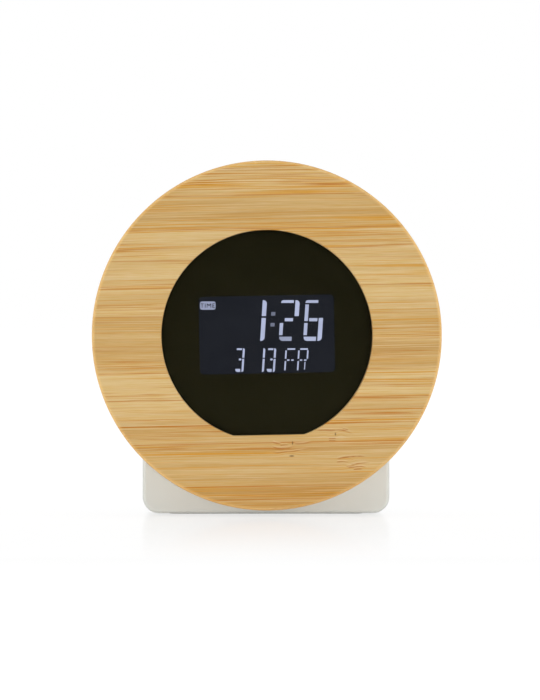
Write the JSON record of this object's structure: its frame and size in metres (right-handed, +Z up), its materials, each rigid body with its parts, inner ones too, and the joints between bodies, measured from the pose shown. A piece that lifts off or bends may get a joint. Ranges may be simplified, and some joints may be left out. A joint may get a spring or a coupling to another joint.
{
  "type": "desk clock",
  "caption": "Desk clock with a round laminated bamboo face around a dark digital display, turning on an arched off-white plastic base with rear buttons and battery door.",
  "frame": {"origin": "middle of the foot pad's underside, on the table", "axes": "+Z up, the face looks along -Y, +X to the right as the display is read"},
  "size_m": [0.1, 0.0509, 0.1018],
  "materials": {
    "bamboo": "satin laminated bamboo",
    "lens": "polished smoked acrylic",
    "mask": "black printed film",
    "black_plastic": "fine moulded texture",
    "white_plastic": "fine satin texture",
    "grey_plastic": "fine satin texture",
    "panel_glass": "polished glass with a dark cell",
    "film": "smooth film",
    "guide": "clear moulded sheet",
    "reflector": "white film",
    "led": "moulded lamp body",
    "zebra": "layered elastomer",
    "circuit_board": "green solder mask",
    "chip": "black epoxy",
    "can": "plain metal can",
    "connector": "natural nylon",
    "steel": "zinc plated",
    "contact": "nickel plated",
    "felt": "pressed felt",
    "nylon": "natural nylon",
    "pad": "soft matte off-white silicone",
    "cell_jacket": null,
    "lead": "insulated wire",
    "bundle": "sleeved wires"
  },
  "bodies": {
    "base": {"friction_ring": "felt", "thrust_washer": "nylon", "base_shell": "white_plastic", "anti_slip_pad": "pad", "rear_cover": "white_plastic", "cover_screws": "steel", "battery_cells": "cell_jacket", "battery_springs": "contact", "negative_contact": "contact", "positive_contact": "contact", "bridge_contact": "contact", "battery_leads": "lead", "main_board": "circuit_board", "main_board_screws": "steel", "key_switches": "black_plastic", "slide_switch": "black_plastic", "buzzer": "black_plastic", "main_connector": "connector", "lead_bundle": "bundle"},
    "head": {"bamboo_face": "bamboo", "display_lens": "lens", "window_mask": "mask", "display_tray": "black_plastic", "lcd_glass": "panel_glass", "polariser_films": "film", "light_guide": "guide", "reflector_sheet": "reflector", "backlight_led": "led", "zebra_strip": "zebra", "display_board": "circuit_board", "board_screws": "steel", "clock_chip": "chip", "quartz_crystal": "can", "display_connector": "connector", "head_back": "white_plastic", "face_screws": "steel", "hub_retainer": "white_plastic", "retainer_screws": "steel"},
    "alarm_knob": {"alarm_knob": "grey_plastic"},
    "battery_door": {"battery_door": "white_plastic"},
    "mode_key": {"mode_button": "grey_plastic", "mode_plunger": "nylon"},
    "set_key": {"set_button": "grey_plastic", "set_plunger": "nylon"},
    "up_key": {"up_button": "grey_plastic", "up_plunger": "nylon"},
    "down_key": {"down_button": "grey_plastic", "down_plunger": "nylon"}
  },
  "joints": [
    {"name": "face_turn", "type": "hinge", "parent": "base", "child": "head", "pos_m": [0, 0, 0.0518], "axis": [0, -1, 0], "range_deg": [-21.1, 18.9]},
    {"name": "alarm_slide", "type": "slide", "parent": "base", "child": "alarm_knob", "axis": [1, 0, 0], "range_m": [0, 0.0026]},
    {"name": "door_swing", "type": "hinge", "parent": "base", "child": "battery_door", "pos_m": [0, 0.017, 0.00635], "axis": [-1, 0, 0], "range_deg": [0, 80]},
    {"name": "mode_press", "type": "slide", "parent": "base", "child": "mode_key", "axis": [0, -1, 0], "range_m": [0, 0.0006], "stiffness_N_per_m": 2600},
    {"name": "set_press", "type": "slide", "parent": "base", "child": "set_key", "axis": [0, -1, 0], "range_m": [0, 0.0006], "stiffness_N_per_m": 2600},
    {"name": "up_press", "type": "slide", "parent": "base", "child": "up_key", "axis": [0, -1, 0], "range_m": [0, 0.0006], "stiffness_N_per_m": 2600},
    {"name": "down_press", "type": "slide", "parent": "base", "child": "down_key", "axis": [0, -1, 0], "range_m": [0, 0.0006], "stiffness_N_per_m": 2600}
  ]
}
